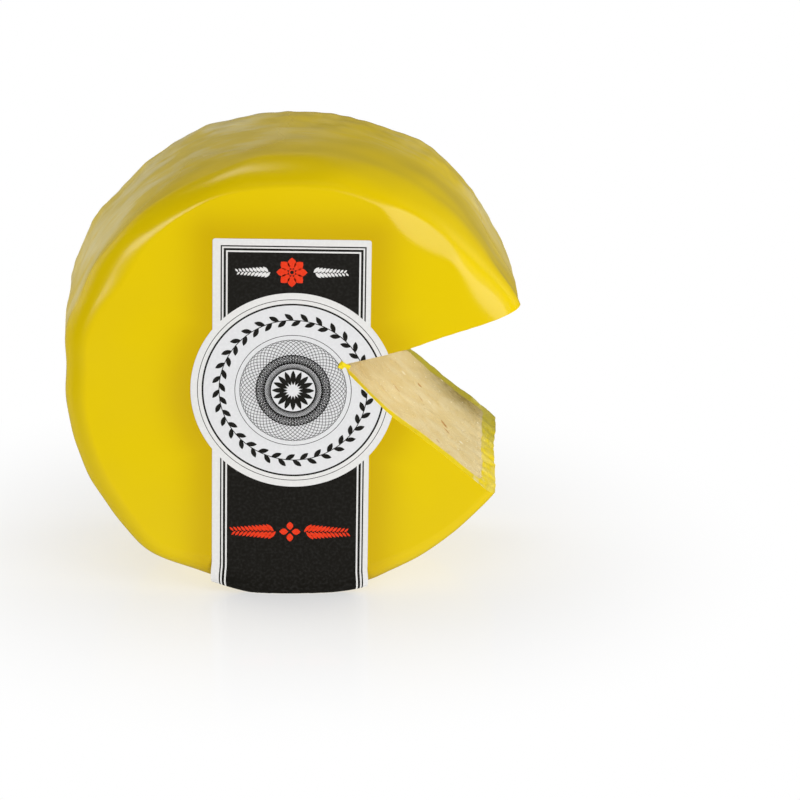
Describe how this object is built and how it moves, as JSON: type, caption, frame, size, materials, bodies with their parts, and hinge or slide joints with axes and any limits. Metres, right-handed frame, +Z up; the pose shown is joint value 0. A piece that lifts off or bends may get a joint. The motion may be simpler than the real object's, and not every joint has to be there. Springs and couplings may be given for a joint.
{
  "type": "smoked cheddar wheel",
  "caption": "Yellow waxed wheel of smoked cheddar standing on its rim, with one wedge cut out to show the pale paste and a paper label with a roundel on its face.",
  "frame": {"origin": "on the surface the wheel stands on, under the middle of its bounding box", "axes": "+Z up, the wheel's axis along Y, its labelled face towards -Y, the cut at +X"},
  "size_m": [0.1772, 0.0922, 0.1743],
  "materials": {
    "wax": "smooth glossy cheese wax, saturated yellow, a little uneven",
    "paste": "pale cream cut paste with fine pits, short streaks and a few crystals",
    "paper": "coated paper printed in black, white and red, satin"
  },
  "bodies": {
    "root": {"wax_coat": "wax", "cheese": "paste", "label": "paper"}
  },
  "joints": []
}
